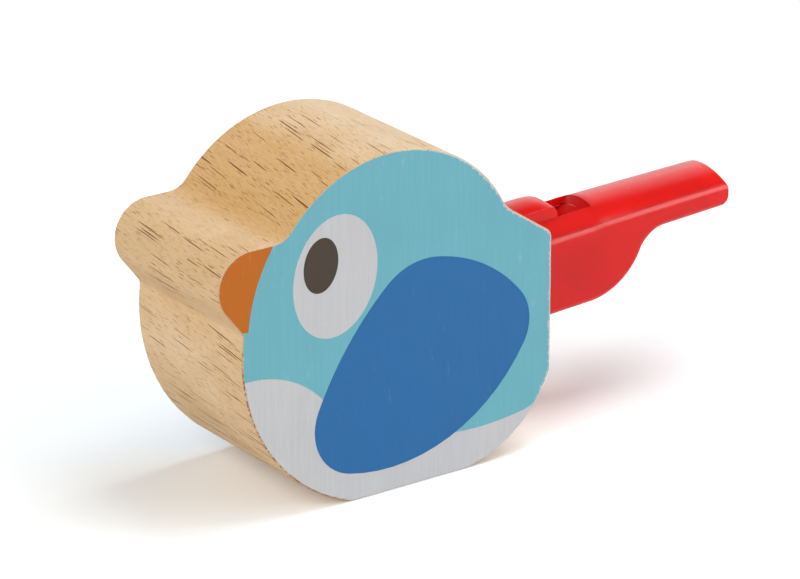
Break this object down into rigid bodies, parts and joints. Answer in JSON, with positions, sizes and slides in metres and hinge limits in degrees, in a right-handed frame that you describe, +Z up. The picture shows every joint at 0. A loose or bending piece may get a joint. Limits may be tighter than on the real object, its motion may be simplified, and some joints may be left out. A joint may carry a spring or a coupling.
{
  "type": "bird call whistle",
  "caption": "Bird-shaped wooden block, printed on both faces, with a plastic whistle set in its tail: chamber, sound window, flat mouthpiece and a loose trill ball.",
  "frame": {"origin": "on the flat base, midway through the block's thickness, under the centre of the round breast", "axes": "+X from the beak to the mouthpiece, +Z up, +Y from the front face to the back face"},
  "size_m": [0.1321, 0.0366, 0.07],
  "materials": {
    "beech": "sanded beech with dark flecks",
    "white_print": "satin print",
    "teal_print": "satin print",
    "orange_print": "satin print",
    "blue_print": "satin print",
    "brown_print": "satin print",
    "red_plastic": "moulded, soft gloss",
    "ball_plastic": "smooth"
  },
  "bodies": {
    "call": {"wood_body": "beech", "front_white_ground": "white_print", "front_teal_coat": "teal_print", "front_beak_coat": "orange_print", "front_wing_coat": "blue_print", "front_pupil_coat": "brown_print", "back_white_ground": "white_print", "back_teal_coat": "teal_print", "back_beak_coat": "orange_print", "back_wing_coat": "blue_print", "back_pupil_coat": "brown_print", "whistle_shell": "red_plastic", "whistle_cover": "red_plastic", "labium_block": "red_plastic", "windway_block": "red_plastic", "end_plug": "red_plastic"},
    "ball": {"trill_ball": "ball_plastic"}
  },
  "joints": [
    {"name": "ball_slide", "type": "slide", "parent": "call", "child": "ball", "axis": [0.9984, 0, 0.0558], "range_m": [0, 0.0383]}
  ]
}
